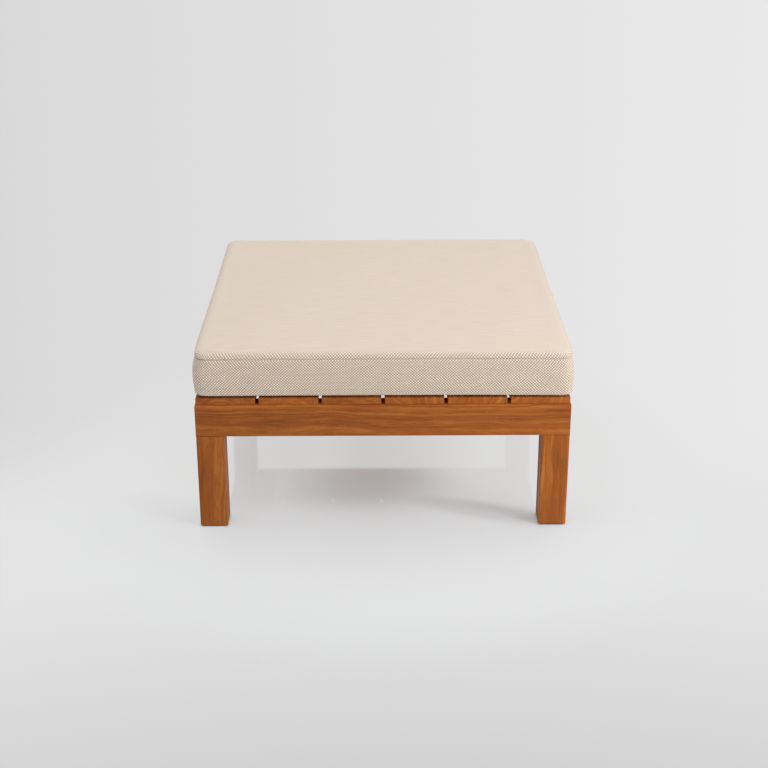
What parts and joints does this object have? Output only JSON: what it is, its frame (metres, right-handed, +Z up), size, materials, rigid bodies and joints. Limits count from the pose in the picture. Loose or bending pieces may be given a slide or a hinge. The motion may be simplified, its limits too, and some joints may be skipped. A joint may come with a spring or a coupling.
{
  "type": "outdoor footstool",
  "caption": "Low square teak footstool for a terrace, with square legs, a rail frame, a slatted deck and a loose zipped foam cushion.",
  "frame": {"origin": "on the floor, under the middle of the stool", "axes": "+Z up, front towards -Y, +X to the right of someone who looks at the front"},
  "size_m": [0.754, 0.7577, 0.3886],
  "materials": {
    "teak": "oiled teak, straight grain, satin",
    "woven_cloth": "coarse two-tone basket weave in cream and taupe, matt",
    "foam": "open-cell foam, matt",
    "zip_tape": "twill tape with a nylon coil, matt",
    "zip_metal": "nickel-plated, satin",
    "stainless_steel": "turned stainless steel",
    "nylon": "moulded nylon, matt"
  },
  "bodies": {
    "frame": {"leg_front_left": "teak", "leg_front_right": "teak", "leg_rear_left": "teak", "leg_rear_right": "teak", "foot_glide_front_left": "nylon", "foot_glide_front_right": "nylon", "foot_glide_rear_left": "nylon", "foot_glide_rear_right": "nylon", "corner_block_front_left": "teak", "corner_block_front_right": "teak", "corner_block_rear_left": "teak", "corner_block_rear_right": "teak", "block_screw_front_left_1": "stainless_steel", "block_screw_front_left_2": "stainless_steel", "block_screw_front_right_1": "stainless_steel", "block_screw_front_right_2": "stainless_steel", "block_screw_rear_left_1": "stainless_steel", "block_screw_rear_left_2": "stainless_steel", "block_screw_rear_right_1": "stainless_steel", "block_screw_rear_right_2": "stainless_steel", "rail_front": "teak", "rail_rear": "teak", "rail_left": "teak", "rail_right": "teak", "centre_bearer": "teak", "slat_1": "teak", "slat_2": "teak", "slat_3": "teak", "slat_4": "teak", "slat_5": "teak", "slat_6": "teak", "slat_1_screw_1": "stainless_steel", "slat_1_screw_2": "stainless_steel", "slat_1_screw_3": "stainless_steel", "slat_1_screw_4": "stainless_steel", "slat_2_screw_1": "stainless_steel", "slat_2_screw_2": "stainless_steel", "slat_2_screw_3": "stainless_steel", "slat_2_screw_4": "stainless_steel", "slat_3_screw_1": "stainless_steel", "slat_3_screw_2": "stainless_steel", "slat_3_screw_3": "stainless_steel", "slat_3_screw_4": "stainless_steel", "slat_4_screw_1": "stainless_steel", "slat_4_screw_2": "stainless_steel", "slat_4_screw_3": "stainless_steel", "slat_4_screw_4": "stainless_steel", "slat_5_screw_1": "stainless_steel", "slat_5_screw_2": "stainless_steel", "slat_5_screw_3": "stainless_steel", "slat_5_screw_4": "stainless_steel", "slat_6_screw_1": "stainless_steel", "slat_6_screw_2": "stainless_steel", "slat_6_screw_3": "stainless_steel", "slat_6_screw_4": "stainless_steel"},
    "cushion": {"cushion_cover": "woven_cloth", "foam_core": "foam", "zip_tape": "zip_tape"},
    "zip_slider": {"zip_slider": "zip_metal"},
    "zip_pull": {"zip_pull": "zip_metal"}
  },
  "joints": [
    {"name": "cushion_lift", "type": "slide", "parent": "frame", "child": "cushion", "axis": [0, 0, 1], "range_m": [0, 0.25]},
    {"name": "zip_slide", "type": "slide", "parent": "cushion", "child": "zip_slider", "axis": [-1, 0, 0], "range_m": [0, 0.576]},
    {"name": "zip_pull_swing", "type": "hinge", "parent": "zip_slider", "child": "zip_pull", "pos_m": [0.288, 0.3784, 0.31689], "axis": [0, -0.1572, -0.9876], "range_deg": [0, 180]}
  ]
}
